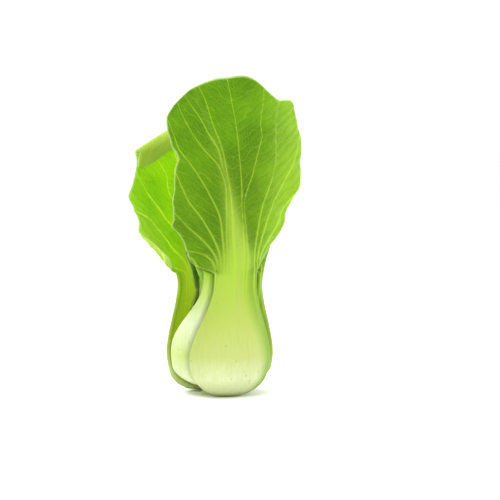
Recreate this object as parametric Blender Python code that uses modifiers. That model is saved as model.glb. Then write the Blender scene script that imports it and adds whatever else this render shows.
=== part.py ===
"""A small head of bok choy: a cut stem core with eleven leaves set round it in a spiral.

Every leaf is a pale clasping stalk with a green blade on top. The leaves are layered like the real
ones: each is laid against the inside of the leaves that cover it, and swells out where it is free.
Lengths are in millimetres and become metres where a mesh is made. +Z is up, the cut lies on Z = 0,
and the front of the head faces -Y.
"""

from dataclasses import dataclass

import bmesh
import bpy
import numpy as np

MM = 0.001
OBJECT_NAME = "bok_choy"

# The stem core, as radius at each height, and the height of its tip.
CORE = ((0, 12.0), (4, 11.2), (10, 8.2), (16, 5.4), (22, 3.4), (26, 2.4))
CORE_TIP = 27.5
CORE_STEPS = 10
CORE_SIDES = 28

# The outermost stalks, as radius at each height: a bulb that is widest low down, and a waist.
HEAD = (
    (0, 30.0), (10, 31.0), (18, 32.8), (26, 33.7), (34, 33.0), (44, 31.1), (56, 28.4),
    (66, 26.8), (78, 26.0), (210, 26.0),
)
FOOT_ROUNDING = 13.0

# Half the turn that a stalk takes round the head, as a share of its widest, at each height.
STALK_TURN = (
    (0, 0.62), (6, 0.84), (14, 0.97), (24, 1.0), (34, 0.95),
    (45, 0.85), (56, 0.73), (68, 0.63), (80, 0.60), (210, 0.60),
)
STALK_EDGE = 1.7
STALK_TAPER = 0.3
FOOT_THICKNESS = 0.5

# Heights between which the leaves turn, spread and lean out, and the height from which they flatten.
WAIST_TURN = (28, 72)
BLADE_TURN = (78, 125)
SPREAD_OUT = (66, 135)
FLATTEN_FROM = 70
LEAN_FROM, LEAN_OVER = 120.0, 60.0

# A plain blade's side: share of the height from foot to shoulder, and share of the widest.
PLAIN_SIDE = (
    (0, 0.0), (0.05, 0.22), (0.15, 0.48), (0.3, 0.74), (0.5, 0.94), (0.66, 1.0), (0.82, 0.95), (1, 0.76),
)
PLAIN_SHOULDER = 0.42
BLADE_THICKNESS = 0.85
MIDRIB_WIDTH = 0.17
MIDRIB_THICKNESS = 0.5
RIB_HEIGHT = 0.5
TOP_CURVE = 2.1
WAVE_LENGTH = 27.0

# Room left between one leaf and the next, in the stalks and in the blades. Past the edge of the
# leaf outside it a leaf swells out again, by this rise within this distance.
STALK_CLEARANCE = 1.15
BLADE_CLEARANCE = 2.6
CLEARANCE_GROWS = (60, 105)
FREE_RISE, FREE_WITHIN = 10.0, 11.0
SOFTNESS = 1.2
JOINT_GAP = 0.3

# The tip of the back left leaf rolls over forwards, on a line that falls towards its outer edge. The
# roll is tightest at that edge.
ROLL_RADIUS = 5.0
ROLL_TIP_RADIUS = 2.0
ROLL_NARROWS = (15, 46)
ROLL_HEIGHT = 168.0
ROLL_SLOPE = 0.33
ROLL_TURN = np.radians(185)

STALK_ROWS, STALK_COLUMNS = 12, 11
STALK_SPACING = 1.6
FOOT_LIFT = 3.0
SHARP_EDGE = np.radians(45)


@dataclass
class Leaf:
    """One leaf. Bearings are in degrees from +X and the full turn in degrees; the rest is millimetres."""

    name: str
    bearings: tuple  # of the bulb, the waist and the blade
    girth: float  # share of the head's radius that it swells to
    full_turn: float  # half the turn that its stalk takes, where it is widest
    thickness: float
    attach: float
    join: float  # where the stalk ends and the blade starts
    top: float
    shoulder: float
    spread: float
    lean: float
    bend_radius: float
    left: tuple  # half the blade's width at each height
    right: tuple
    wave: float
    wave_phase: float
    flat_at: float = 112  # the height at which it is bent to the bend radius
    calm_above: float = 400  # the height above which its edge has no waves
    columns: int = 13
    rows: int = 17
    rolled: bool = False


def plain_leaf(
    name, bearings, girth, full_turn, thickness, heights, widest, spread, lean, bend_radius, **rest
):
    """A leaf with the usual blade, wider above the middle and round at the top."""
    attach, join, top = heights
    shoulder = top - PLAIN_SHOULDER * widest
    foot = girth * HEAD[-1][1] * np.radians(full_turn) * STALK_TURN[-1][1]
    side = tuple((join + up * (shoulder - join), foot + out * (widest - foot)) for up, out in PLAIN_SIDE)
    return Leaf(
        name, bearings, girth, full_turn, thickness, attach, join, top, shoulder,
        spread, lean, bend_radius, side, side, **rest,
    )


FRONT_LEFT = (
    (78, 15.5), (84, 31.5), (92, 34.5), (99, 36), (103, 38.5), (107, 43), (112, 41), (118, 39.2),
    (128, 37.5), (138, 36.5), (144, 34.8), (149, 33.4), (153, 34.6), (157, 37.5), (162, 40),
    (167, 41.8), (173, 42), (182, 38),
)
FRONT_RIGHT = (
    (78, 15.5), (84, 22), (97, 31), (112, 41), (128, 48.5), (144, 52), (156, 53), (165, 52),
    (174, 49), (182, 44),
)
BACK_LEFT_INNER = ((76, 14), (82, 22), (95, 30), (115, 36), (140, 37), (160, 33), (176, 27))
BACK_LEFT_OUTER = (
    (76, 16), (78, 26), (80.5, 36), (84, 44), (88, 50), (92, 53.5), (98, 55), (105, 54), (116, 52),
    (127, 53.5), (131, 53), (138, 50), (145, 45.5), (151, 46), (156, 48.5), (162, 50), (168, 49), (176, 46),
)
SMALL = {"columns": 11, "rows": 13}
HEART = {"columns": 9, "rows": 10}

# From the outermost to the innermost.
LEAVES = (
    Leaf(
        "front_leaf", (-70, -63, -77), 1, 56, 7.4, -0.7, 78, 200, 182, 13.5, 3, 66,
        FRONT_LEFT, FRONT_RIGHT, 0.8, 0.4, columns=15, rows=19,
    ),
    Leaf(
        "back_left_leaf", (133, 146, 128), 1.042, 58, 7.0, -0.4, 76, 184, 166, 12, 0, 120,
        BACK_LEFT_INNER, BACK_LEFT_OUTER, 1.5, 2.1, flat_at=86, calm_above=148, rows=25, rolled=True,
    ),
    plain_leaf(
        "right_leaf", (17, 12, 15), 1, 52, 6.6, (4.2, 76, 178), 36, 17, 3, 48,
        wave=1.8, wave_phase=1.0,
    ),
    plain_leaf(
        "left_leaf", (236, 272, 270), 1, 42, 7.0, (5.2, 78, 164), 25, 6, 1, 34,
        wave=1.2, wave_phase=3.3,
    ),
    plain_leaf(
        "back_leaf", (70, 66, 62), 1, 50, 5.6, (8.6, 72, 168), 35, 15, 3, 50,
        wave=1.6, wave_phase=5.0,
    ),
    plain_leaf(
        "inner_front_leaf", (262, 272, 282), 0.9, 40, 4.6, (10.6, 70, 158), 28, 6, 1, 34,
        wave=1.0, wave_phase=0.2, **SMALL,
    ),
    plain_leaf(
        "inner_right_leaf", (-24, -20, -14), 0.84, 46, 4.0, (13.6, 66, 150), 26, 8, 1, 30,
        wave=1.0, wave_phase=2.6, **SMALL,
    ),
    plain_leaf(
        "inner_left_leaf", (134, 114, 110), 0.76, 46, 3.8, (13.8, 64, 144), 25, 6, 1, 28,
        wave=0.9, wave_phase=4.1, **SMALL,
    ),
    plain_leaf(
        "inner_back_leaf", (48, 46, 46), 0.66, 44, 3.0, (17.6, 58, 128), 20, 6, 0, 22,
        wave=0.8, wave_phase=1.7, **HEART,
    ),
    plain_leaf(
        "heart_leaf_left", (232, 222, 215), 0.5, 44, 2.4, (18.4, 52, 110), 15, 3, 0, 16,
        wave=0.6, wave_phase=0.9, **HEART,
    ),
    plain_leaf(
        "heart_leaf_right", (352, 345, 340), 0.38, 42, 2.0, (21.6, 46, 94), 11, 2, 0, 12,
        wave=0.5, wave_phase=3.9, **HEART,
    ),
)


def eased(low, high, value):
    """0 below low and 1 above high, with a smooth rise between."""
    t = np.clip((value - low) / (high - low), 0, 1)
    return t * t * (3 - 2 * t)


def curve(knots, at):
    """A smooth line through the knots, read at each place in at."""
    place, value = np.array(knots, float).T
    slope = np.gradient(value, place)
    i = np.clip(np.searchsorted(place, at) - 1, 0, len(place) - 2)
    step = place[i + 1] - place[i]
    t = np.clip((at - place[i]) / step, 0, 1)
    start = (1 + 2 * t) * (1 - t) ** 2 * value[i] + t * (1 - t) ** 2 * step * slope[i]
    end = t * t * (3 - 2 * t) * value[i + 1] + t * t * (t - 1) * step * slope[i + 1]
    return start + end


def bearing(leaf, z):
    """Which way the middle of the leaf faces, in radians."""
    bulb, waist, blade = leaf.bearings
    turned = bulb + (waist - bulb) * eased(*WAIST_TURN, z) + (blade - waist) * eased(*BLADE_TURN, z)
    return np.radians(turned)


def middle_radius(leaf, z):
    """How far the back of the leaf's middle is from the head's axis, with nothing outside it."""
    lean = leaf.lean * np.maximum((z - LEAN_FROM) / LEAN_OVER, 0) ** 2
    return leaf.girth * curve(HEAD, z) + leaf.spread * eased(*SPREAD_OUT, z) ** 0.9 + lean


def bend(leaf, z):
    """The radius that the leaf's section is bent to: round the head below, flatter above."""
    flat = eased(FLATTEN_FROM, leaf.flat_at, z)
    return 1 / ((1 - flat) / middle_radius(leaf, z) + flat / leaf.bend_radius)


def half_widths(leaf, z):
    """Half the width to the left and to the right, along the leaf's section."""
    stalk = middle_radius(leaf, z) * np.radians(leaf.full_turn) * curve(STALK_TURN, z)
    left = np.where(z < leaf.join, stalk, curve(leaf.left, z))
    right = np.where(z < leaf.join, stalk, curve(leaf.right, z))
    return left, right


def own_section(leaf, angle, z):
    """The leaf's own section in this direction: its radius, its share across, and its tilt to the radius."""
    radius, bent = middle_radius(leaf, z), bend(leaf, z)
    off = np.remainder(angle - bearing(leaf, z) + np.pi, 2 * np.pi) - np.pi
    inset = radius - bent
    reach = inset * np.cos(off) + np.sqrt(np.maximum(bent**2 - (inset * np.sin(off)) ** 2, 1.0))
    turn = np.arctan2(reach * np.sin(off), reach * np.cos(off) - inset)
    left, right = half_widths(leaf, z)
    side = np.where(turn < 0, left, right)
    return reach, bent * turn / side, side, turn - off


def thickness(leaf, share, tilt, z):
    """Thickness along the radius: a thick stalk with thinner edges, then a midrib in a thin blade."""
    inside = np.clip(1 - np.abs(share) ** 2.2, 0, 1)
    middle = leaf.thickness * (1 - STALK_TAPER * eased(30, leaf.join, z))
    stalk = STALK_EDGE + (middle - STALK_EDGE) * inside
    midrib = (MIDRIB_THICKNESS * leaf.thickness - BLADE_THICKNESS) * np.exp(-((share / MIDRIB_WIDTH) ** 2))
    blade = BLADE_THICKNESS + midrib * (1 - eased(leaf.join, leaf.shoulder, z))
    above = eased(leaf.join - 14, leaf.join + 8, z)
    return (stalk + (blade - stalk) * above) / np.maximum(np.cos(tilt), 0.6)


def layered(rank, angle, z):
    """Radius of the back and of the inner face of a leaf, laid inside the leaves of lower rank."""
    limits = []
    clearance = STALK_CLEARANCE + (BLADE_CLEARANCE - STALK_CLEARANCE) * eased(*CLEARANCE_GROWS, z)
    for leaf in LEAVES[: rank + 1]:
        back, share, side, tilt = own_section(leaf, angle, z)
        edge = np.clip(np.abs(share), 0, 1.1) ** 3
        wave = leaf.wave * edge * eased(leaf.join, leaf.join + 25, z)
        wave = wave * (1 - eased(leaf.calm_above - 15, leaf.calm_above, z))
        back = back + wave * np.sin(2 * np.pi * z / WAVE_LENGTH + 2 * np.sign(share) + leaf.wave_phase)
        for limit in limits:
            back = 0.5 * (back + limit - np.sqrt((back - limit) ** 2 + SOFTNESS**2))
        inner = back - thickness(leaf, share, tilt, z)
        beyond = (np.abs(share) - 1) * side
        free = eased(0, FREE_WITHIN, beyond) + eased(leaf.top, leaf.top + FREE_WITHIN, z)
        limits.append(inner - clearance + FREE_RISE * free)
    return back, inner


def foot_rounding(z, start):
    """How far the rounded foot of a leaf has come out from the core at this height, 0 to 1."""
    left = 1 - np.clip((z - start) / FOOT_ROUNDING, 0, 1)
    return np.sqrt(1 - left**2)


def leaf_grid(rank, share, z):
    """Angles, radii of both faces, and places across the leaf, for a grid of shares and heights.

    The height of a row's ends sets its width.
    """
    leaf = LEAVES[rank]
    left, right = half_widths(leaf, z[:, :1])
    across = share * np.where(share < 0, left, right)
    radius, bent = middle_radius(leaf, z), bend(leaf, z)
    turn = across / bent
    angle = bearing(leaf, z) + np.arctan2(bent * np.sin(turn), radius - bent + bent * np.cos(turn))
    back, inner = layered(rank, angle, z)
    root = curve(CORE, z) + JOINT_GAP
    inner_start = leaf.attach + FOOT_THICKNESS * leaf.thickness
    back = root + (back - root) * foot_rounding(z, leaf.attach)
    inner = root + (inner - root) * foot_rounding(z, inner_start)
    return angle, back, np.minimum(inner, np.maximum(back - BLADE_THICKNESS, root)), across


def in_space(angle, radius, z):
    """Points in space from their angle round the axis, their radius and their height."""
    return np.stack([radius * np.cos(angle), radius * np.sin(angle), z], axis=-1)


def sheet_solid(name, back, inner):
    """A closed solid between two like grids of points, split into triangles alike on both faces."""
    rows, columns = back.shape[:2]
    bm = bmesh.new()
    outer, under = ([[bm.verts.new(point * MM) for point in row] for row in grid] for grid in (back, inner))
    for i in range(rows - 1):
        for j in range(columns - 1):
            for grid in (outer, under):
                bm.faces.new((grid[i][j], grid[i][j + 1], grid[i + 1][j + 1]))
                bm.faces.new((grid[i][j], grid[i + 1][j + 1], grid[i + 1][j]))
    rim = [((i, j), (i + 1, j)) for i in range(rows - 1) for j in (0, columns - 1)]
    rim += [((i, j), (i, j + 1)) for j in range(columns - 1) for i in (0, rows - 1)]
    for (i, j), (k, m) in rim:
        bm.faces.new((outer[i][j], outer[k][m], under[k][m]))
        bm.faces.new((outer[i][j], under[k][m], under[i][j]))
    bmesh.ops.recalc_face_normals(bm, faces=bm.faces)
    mesh = bpy.data.meshes.new(name)
    bm.to_mesh(mesh)
    bm.free()
    mesh.shade_smooth()
    mesh.set_sharp_from_angle(angle=SHARP_EDGE)
    return mesh


def stalk_mesh(rank):
    """The stalk, from the cut or the core up to the foot of the blade."""
    leaf = LEAVES[rank]
    share = np.linspace(-1, 1, STALK_COLUMNS)[None, :]
    step = np.linspace(0, 1, STALK_ROWS)[:, None] ** STALK_SPACING
    foot = max(leaf.attach + JOINT_GAP, 0)
    z = foot + (leaf.join - foot) * step + FOOT_LIFT * (1 - step) ** 2 * share**2
    angle, back, inner, _ = leaf_grid(rank, share, z)
    return sheet_solid(leaf.name + "_stalk", in_space(angle, back, z), in_space(angle, inner, z))


def roll_over(back, radius, z, across):
    """Rolls what is above the roll line over towards the head. back is the radius of the leaf's back."""
    line = ROLL_HEIGHT - ROLL_SLOPE * across
    roll = ROLL_RADIUS + (ROLL_TIP_RADIUS - ROLL_RADIUS) * eased(*ROLL_NARROWS, across)
    past = np.maximum(z - line, 0)
    turn = np.minimum(past / roll, ROLL_TURN)
    rest = past - turn * roll
    arm = roll - (back - radius)
    rolled_radius = back - roll + arm * np.cos(turn) - rest * np.sin(turn)
    rolled_z = line + arm * np.sin(turn) + rest * np.cos(turn)
    return np.where(past > 0, rolled_radius, radius), np.where(past > 0, rolled_z, z)


def blade_mesh(rank):
    """The blade: wings beside the midrib at its foot, ribs in a fan, and a round waved edge."""
    leaf = LEAVES[rank]
    share = np.linspace(-1, 1, leaf.columns)[None, :]
    step = np.linspace(0, 1, leaf.rows)[:, None]
    foot = leaf.join + JOINT_GAP
    drop = (leaf.top - leaf.shoulder) * step**3
    z = foot + (leaf.top - foot) * step - drop * np.abs(share) ** TOP_CURVE
    angle, back, inner, across = leaf_grid(rank, share, z)
    ribs = 0.5 + 0.5 * np.cos(np.pi * share * (leaf.columns - 1) / 2)
    outer, high, low = back + RIB_HEIGHT * ribs * (1 - step), z, z
    if leaf.rolled:
        outer, high = roll_over(back, outer, z, across)
        inner, low = roll_over(back, inner, z, across)
    return sheet_solid(leaf.name + "_blade", in_space(angle, outer, high), in_space(angle, inner, low))


def core_object(collection, finish):
    """The stem core, a cone turned from its profile, with a flat cut underneath."""
    heights = np.linspace(CORE[-1][0], 0, CORE_STEPS)
    profile = [(0, CORE_TIP), *zip(curve(CORE, heights), heights), (0, 0)]
    bm = bmesh.new()
    line = [bm.verts.new((radius * MM, 0, z * MM)) for radius, z in profile]
    for a, b in zip(line, line[1:]):
        bm.edges.new((a, b))
    mesh = bpy.data.meshes.new("stem_core")
    bm.to_mesh(mesh)
    bm.free()
    core = new_object("stem_core", mesh, finish, collection)
    turned = core.modifiers.new("turned", "SCREW")
    turned.steps = turned.render_steps = CORE_SIDES
    turned.use_merge_vertices = True
    turned.merge_threshold = 0.0001


def new_object(name, mesh, finish, collection):
    """Adds the mesh to the collection under its plain name, with its finish."""
    mesh.materials.append(finish)
    thing = bpy.data.objects.new(name, mesh)
    collection.objects.link(thing)
    return thing


def plain_finish(name, colour, roughness):
    """A finish of one colour."""
    finish = bpy.data.materials.new(name)
    finish.use_nodes = True
    shader = finish.node_tree.nodes["Principled BSDF"]
    shader.inputs["Base Color"].default_value = (*colour, 1)
    shader.inputs["Roughness"].default_value = roughness
    shader.inputs["Metallic"].default_value = 0
    return finish


def main():
    for thing in list(bpy.data.objects):
        bpy.data.objects.remove(thing)
    collection = bpy.data.collections.new(OBJECT_NAME)
    bpy.context.scene.collection.children.link(collection)
    core_object(collection, plain_finish("cut_stem", (0.58, 0.62, 0.33), 0.6))
    for rank, leaf in enumerate(LEAVES):
        pale = plain_finish(leaf.name + "_pale_stalk", (0.56, 0.70, 0.19), 0.42)
        green = plain_finish(leaf.name + "_green_blade", (0.21, 0.44, 0.03), 0.5)
        new_object(leaf.name + "_stalk", stalk_mesh(rank), pale, collection)
        new_object(leaf.name + "_blade", blade_mesh(rank), green, collection)


main()
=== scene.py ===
from dataclasses import dataclass

import bpy
import numpy as np
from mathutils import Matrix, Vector


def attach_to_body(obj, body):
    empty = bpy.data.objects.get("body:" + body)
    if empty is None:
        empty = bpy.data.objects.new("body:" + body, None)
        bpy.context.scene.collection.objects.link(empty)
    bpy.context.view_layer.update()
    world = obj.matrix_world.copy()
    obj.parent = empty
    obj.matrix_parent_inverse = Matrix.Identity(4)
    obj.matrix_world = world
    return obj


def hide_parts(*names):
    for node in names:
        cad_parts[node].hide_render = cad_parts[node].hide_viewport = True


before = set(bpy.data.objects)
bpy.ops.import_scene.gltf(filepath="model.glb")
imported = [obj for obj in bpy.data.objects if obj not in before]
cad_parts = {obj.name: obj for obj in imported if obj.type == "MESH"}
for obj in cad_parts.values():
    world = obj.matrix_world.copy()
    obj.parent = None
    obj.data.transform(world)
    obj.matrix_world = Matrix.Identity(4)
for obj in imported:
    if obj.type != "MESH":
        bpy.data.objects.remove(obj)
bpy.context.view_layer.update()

# The stem core is the short thick stem that every leaf grows from. It is firm pale flesh, cut across
# with a knife at harvest, and the head stands on that cut.
MM = 0.001
CORE = ((0, 12.0), (4, 11.2), (10, 8.2), (16, 5.4), (22, 3.4), (26, 2.4))
CORE_TIP = 27.5
CORE_SIDES, CORE_ROWS = 72, 34
CUT_RINGS = (2.5, 5, 7.5, 9.5, 11, 11.7)
CUT_EDGE = np.radians(40)
SMOOTH = {"interpolation_type": "SMOOTHSTEP"}


def curve(knots, at):
    """A smooth line through the knots, read at each place in at."""
    place, value = np.array(knots, float).T
    slope = np.gradient(value, place)
    i = np.clip(np.searchsorted(place, at) - 1, 0, len(place) - 2)
    step = place[i + 1] - place[i]
    t = np.clip((at - place[i]) / step, 0, 1)
    start = (1 + 2 * t) * (1 - t) ** 2 * value[i] + t * (1 - t) ** 2 * step * slope[i]
    end = t * t * (3 - 2 * t) * value[i + 1] + t * t * (t - 1) * step * slope[i + 1]
    return start + end


def linear(colour):
    """An sRGB hex colour as linear red, green, blue and alpha."""
    parts = [int(colour[i : i + 2], 16) / 255 for i in (1, 3, 5)]
    return (*(c / 12.92 if c <= 0.04045 else ((c + 0.055) / 1.055) ** 2.4 for c in parts), 1)


def add(tree, kind, inputs=(), output=0, **settings):
    """Adds a node with its settings, and gives the output that is asked for.

    Its inputs are values or links, in the order of its sockets or by their names.
    """
    node = tree.nodes.new(kind)
    for key, value in settings.items():
        setattr(node, key, value)
    for socket, value in inputs.items() if isinstance(inputs, dict) else enumerate(inputs):
        if isinstance(value, bpy.types.NodeSocket):
            tree.links.new(value, node.inputs[socket])
        else:
            node.inputs[socket].default_value = value
    return node.outputs[output] if len(node.outputs) else None


def skin_tree(name):
    """A new material with an empty tree, and where in the object each point lies, in metres."""
    skin = bpy.data.materials.new(name)
    skin.use_nodes = True
    tree = skin.node_tree
    tree.nodes.clear()
    return skin, tree, add(tree, "ShaderNodeTexCoord", output="Object")


# Cut plant flesh: pale and moist in the middle, with rings and a ring of fibre ends, and a
# drier, greener skin outside. It is matt, with a wet sheen in places. Sizes are in millimetres.
GRAIN_SIZE, FIBRE_SIZE, RING_SPACING = 2.0, 1.613, 2.027
cut_flesh, tree, where = skin_tree("cut_stem_flesh")
place = add(tree, "ShaderNodeSeparateXYZ", [where]).node.outputs
flat = add(tree, "ShaderNodeCombineXYZ", [place[0], place[1]])
out = add(tree, "ShaderNodeVectorMath", [flat], "Value", operation="LENGTH")
out = add(tree, "ShaderNodeMath", [out, 1 / MM], operation="MULTIPLY")
grain = add(tree, "ShaderNodeTexNoise", {"Vector": where, "Scale": 1 / (GRAIN_SIZE * MM), "Detail": 5})
wander = add(tree, "ShaderNodeMath", [grain, 3], operation="MULTIPLY")
rings = add(tree, "ShaderNodeMath", [out, 2 * np.pi / RING_SPACING, wander], operation="MULTIPLY_ADD")
rings = add(tree, "ShaderNodeMath", [rings], operation="SINE")
rings = add(tree, "ShaderNodeMapRange", [rings, -1, 1], **SMOOTH)
fibres = add(tree, "ShaderNodeTexVoronoi", {"Vector": where, "Scale": 1 / (FIBRE_SIZE * MM)})
fibres = add(tree, "ShaderNodeMapRange", [fibres, 0.15, 0.35, 1, 0], **SMOOTH)
near_skin = add(tree, "ShaderNodeMapRange", [out, 5.5, 8], **SMOOTH)
fibre_ring = add(tree, "ShaderNodeMath", [fibres, near_skin], operation="MULTIPLY")
fibre_tint = add(tree, "ShaderNodeMath", [fibre_ring, 0.6], operation="MULTIPLY")
skin_tint = add(tree, "ShaderNodeMapRange", [out, 10.2, 12], **SMOOTH)
flesh = linear("#e9edc6")
for amount, tint in ((rings, "#dbe3ab"), (fibre_tint, "#b9bf7c"), (skin_tint, "#a9b873")):
    flesh = add(tree, "ShaderNodeMix", {0: amount, 6: flesh, 7: linear(tint)}, 2, data_type="RGBA")
relief = add(tree, "ShaderNodeMath", [grain, fibre_ring], operation="SUBTRACT")
uneven = add(tree, "ShaderNodeBump", {"Strength": 0.5, "Distance": 0.4 * MM, "Height": relief})
rough = add(tree, "ShaderNodeMapRange", [grain, 0.3, 0.7, 0.45, 0.65], **SMOOTH)
shader = add(tree, "ShaderNodeBsdfPrincipled", {"Base Color": flesh, "Roughness": rough, "Normal": uneven})
add(tree, "ShaderNodeOutputMaterial", [shader])

heights = np.linspace(0, CORE[-1][0], CORE_ROWS)
profile = [(radius, 0.0) for radius in CUT_RINGS] + list(zip(curve(CORE, heights), heights))
turn = np.linspace(0, 2 * np.pi, CORE_SIDES, endpoint=False)
points, faces = [], []
for radius, z in profile:
    points += [(radius * np.cos(a) * MM, radius * np.sin(a) * MM, z * MM) for a in turn]
points += [(0, 0, 0), (0, 0, CORE_TIP * MM)]
last, bottom, tip = (len(profile) - 1) * CORE_SIDES, len(points) - 2, len(points) - 1
for j in range(CORE_SIDES):
    k = (j + 1) % CORE_SIDES
    faces += [(bottom, k, j), (last + j, last + k, tip)]
    faces += [(i + j, i + k, i + CORE_SIDES + k, i + CORE_SIDES + j) for i in range(0, last, CORE_SIDES)]
core_mesh = bpy.data.meshes.new("stem_core_flesh")
core_mesh.from_pydata(points, [], faces)
core_mesh.materials.append(cut_flesh)
core_mesh.shade_smooth()
core_mesh.set_sharp_from_angle(angle=CUT_EDGE)
core = bpy.data.objects.new("stem_core_flesh", core_mesh)
bpy.context.collection.objects.link(core)
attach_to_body(core, "root")
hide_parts("stem_core")

# The front leaf is the outermost: a thick pale stalk that clasps the head and carries on up the
# blade as its midrib. Every leaf is laid against the inside of the leaves outside it, as it grew.
# The head's bulb and waist, as radius at each height, and half the turn that a stalk takes round it.
HEAD = (
    (0, 30.0), (10, 31.0), (18, 32.8), (26, 33.7), (34, 33.0), (44, 31.1), (56, 28.4),
    (66, 26.8), (78, 26.0), (210, 26.0),
)
FOOT_ROUNDING = 13.0
FOOT_LIFT = 3.0
STALK_TURN = (
    (0, 0.62), (6, 0.84), (14, 0.97), (24, 1.0), (34, 0.95),
    (45, 0.85), (56, 0.73), (68, 0.63), (80, 0.60), (210, 0.60),
)
STALK_EDGE = 1.6
BLADE_THICKNESS = 0.8
STALK_CLEARANCE = 1.15
BLADE_CLEARANCE = 2.6
FREE_RISE, FREE_WITHIN = 10.0, 11.0
SOFTNESS = 1.2
WAVE_LENGTH, RUFFLE_LENGTH, RUFFLE_SHARE = 27.0, 10.5, 0.22
# The heights between which a leaf spreads, turns to its waist and turns to its blade, the height from
# which it goes flat, and the height from which it leans out.
SPREADS, TURNS_TO_WAIST, TURNS_TO_BLADE, FLAT_FROM = (66, 135), (28, 72), (78, 125), 70
LEANS_FROM, LEANS_OVER = 120, 60
# Past the outermost veins the count goes on at this gap. The side veins are this far apart, and
# drop towards the midrib at this slant.
OUTER_GAP, RUNG_SPACING, RUNG_SLANT = 12.0, 6.5, 0.8
# The mesh is finer towards the margin, the foot and the tip. A leaf's root stands off the core.
MARGIN_FINER, FOOT_FINER, TIP_FINER = 1.3, 1.8, 1.12
ROOT_GAP, LEAST_THICKNESS = 0.3, 0.6
CROWN_BLUR = 9
# The midrib above the stalk: half its width, and its thickness, as shares of the stalk's.
RIB_WIDTH = ((0, 1), (0.08, 0.72), (0.16, 0.5), (0.3, 0.32), (0.5, 0.2), (0.75, 0.12), (1, 0.06))
RIB_THICKNESS = ((0, 1), (0.08, 0.84), (0.16, 0.7), (0.3, 0.5), (0.5, 0.34), (0.75, 0.22), (1, 0.12))


def eased(low, high, value):
    """0 below low and 1 above high, with a smooth rise between."""
    t = np.clip((value - low) / (high - low), 0, 1)
    return t * t * (3 - 2 * t)


@dataclass
class Leaf:
    """One leaf. Bearings are in degrees from +X and the full turn in degrees; the rest is millimetres."""

    name: str
    bearings: tuple  # of the bulb, the waist and the blade
    girth: float  # share of the head's radius that it swells to
    full_turn: float  # half the turn that its stalk takes, where it is widest
    thick: float
    heights: tuple  # where it leaves the core, where the stalk becomes the blade, and the tip
    shoulder: float
    spread: float
    lean: float
    bend_radius: float
    left: tuple  # how far the blade reaches to the left of its middle, at each height
    right: tuple  # and to the right
    wave: float
    wave_phase: float
    flat_at: float = 112  # the height at which it is bent to the bend radius
    crown: tuple = ()  # how far the top edge drops below the tip, at each share across
    # Next: the stalk's margins are a little greener, and a strong value is painted shade on that side.
    flush: tuple = (0.15, 0.15)  # how green the left and the right side of the stalk are
    # Next: painted light, a side of the blade made lighter where light falls on it or comes through it.
    tone: tuple = (0, 0)  # how much lighter the left and the right side of the blade are
    folds: tuple = ()  # each fold as height, place across, half its length, half its width, and its rise
    veins: tuple = ()  # each vein as (height, how far across), from left to right
    calm_above: float = 400  # the height above which its margin has no waves
    rib_line: tuple = ((0, 0), (400, 0))  # how far across the middle of its midrib lies, at each height
    rolled: bool = False


laid = []


def middle_radius(leaf, z):
    """How far the back of the leaf's middle is from the head's axis, with nothing outside it."""
    lean = leaf.lean * np.maximum((z - LEANS_FROM) / LEANS_OVER, 0) ** 2
    return leaf.girth * curve(HEAD, z) + leaf.spread * eased(*SPREADS, z) ** 0.9 + lean


def bearing(leaf, z):
    """Which way the middle of the leaf faces, in radians."""
    bulb, waist, blade = leaf.bearings
    turned = bulb + (waist - bulb) * eased(*TURNS_TO_WAIST, z) + (blade - waist) * eased(*TURNS_TO_BLADE, z)
    return np.radians(turned)


def bend(leaf, z):
    """The radius that the leaf's section is bent to: round the head below, flatter above."""
    flat = eased(FLAT_FROM, leaf.flat_at, z)
    return 1 / ((1 - flat) / middle_radius(leaf, z) + flat / leaf.bend_radius)


def stalk_half(leaf, z):
    """Half the stalk's width, along the leaf's section."""
    return middle_radius(leaf, z) * np.radians(leaf.full_turn) * curve(STALK_TURN, z)


def half_widths(leaf, z):
    """Half the leaf's width to the left and to the right, along its section."""
    stalk, join = stalk_half(leaf, z), leaf.heights[1]
    left = np.where(z < join, stalk, np.maximum(curve(leaf.left, z), stalk_half(leaf, join)))
    right = np.where(z < join, stalk, np.maximum(curve(leaf.right, z), stalk_half(leaf, join)))
    return left, right


def section(leaf, angle, z):
    """The leaf's section in this direction: radius, share across, half width, and tilt to the radius."""
    radius, bent = middle_radius(leaf, z), bend(leaf, z)
    off = np.remainder(angle - bearing(leaf, z) + np.pi, 2 * np.pi) - np.pi
    inset = radius - bent
    reach = inset * np.cos(off) + np.sqrt(np.maximum(bent**2 - (inset * np.sin(off)) ** 2, 1.0))
    turned = np.arctan2(reach * np.sin(off), reach * np.cos(off) - inset)
    left, right = half_widths(leaf, z)
    side = np.where(turned < 0, left, right)
    return reach, bent * turned / side, side, turned - off


def up_blade(leaf, z):
    """0 up to the top of the stalk, and 1 at the tip."""
    _, join, top = leaf.heights
    return np.clip((z - join) / (top - join), 0, 1)


def rib_share(leaf, across, z):
    """How far out a point is across the stalk or the midrib: 1 at its side."""
    low = np.minimum(z, leaf.heights[1])
    return across / (stalk_half(leaf, low) * curve(RIB_WIDTH, up_blade(leaf, z)))


def depths(leaf, share, side, tilt, z):
    """How deep both faces lie under the back of the stalk or midrib: the wings join it at its flanks."""
    join = leaf.heights[1]
    above = eased(join - 8, join + 10, z)
    thick = leaf.thick * (1 - 0.3 * eased(30, join, z)) * curve(RIB_THICKNESS, up_blade(leaf, z))
    thin = STALK_EDGE + (BLADE_THICKNESS - STALK_EDGE) * above
    thick = np.maximum(thick, thin)
    out = np.abs(rib_share(leaf, share * side, z))
    set_back = (0.14 + 0.36 * above) * (thick - thin)
    outer = set_back * (1 - np.exp(-((out / 0.82) ** 4)))
    swell = np.exp(-((out / 0.72) ** 2.4))
    inner = thick * swell + (set_back + thin) * (1 - swell)
    slant = np.maximum(np.cos(tilt), 0.6)
    return outer / slant, inner / slant


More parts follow.
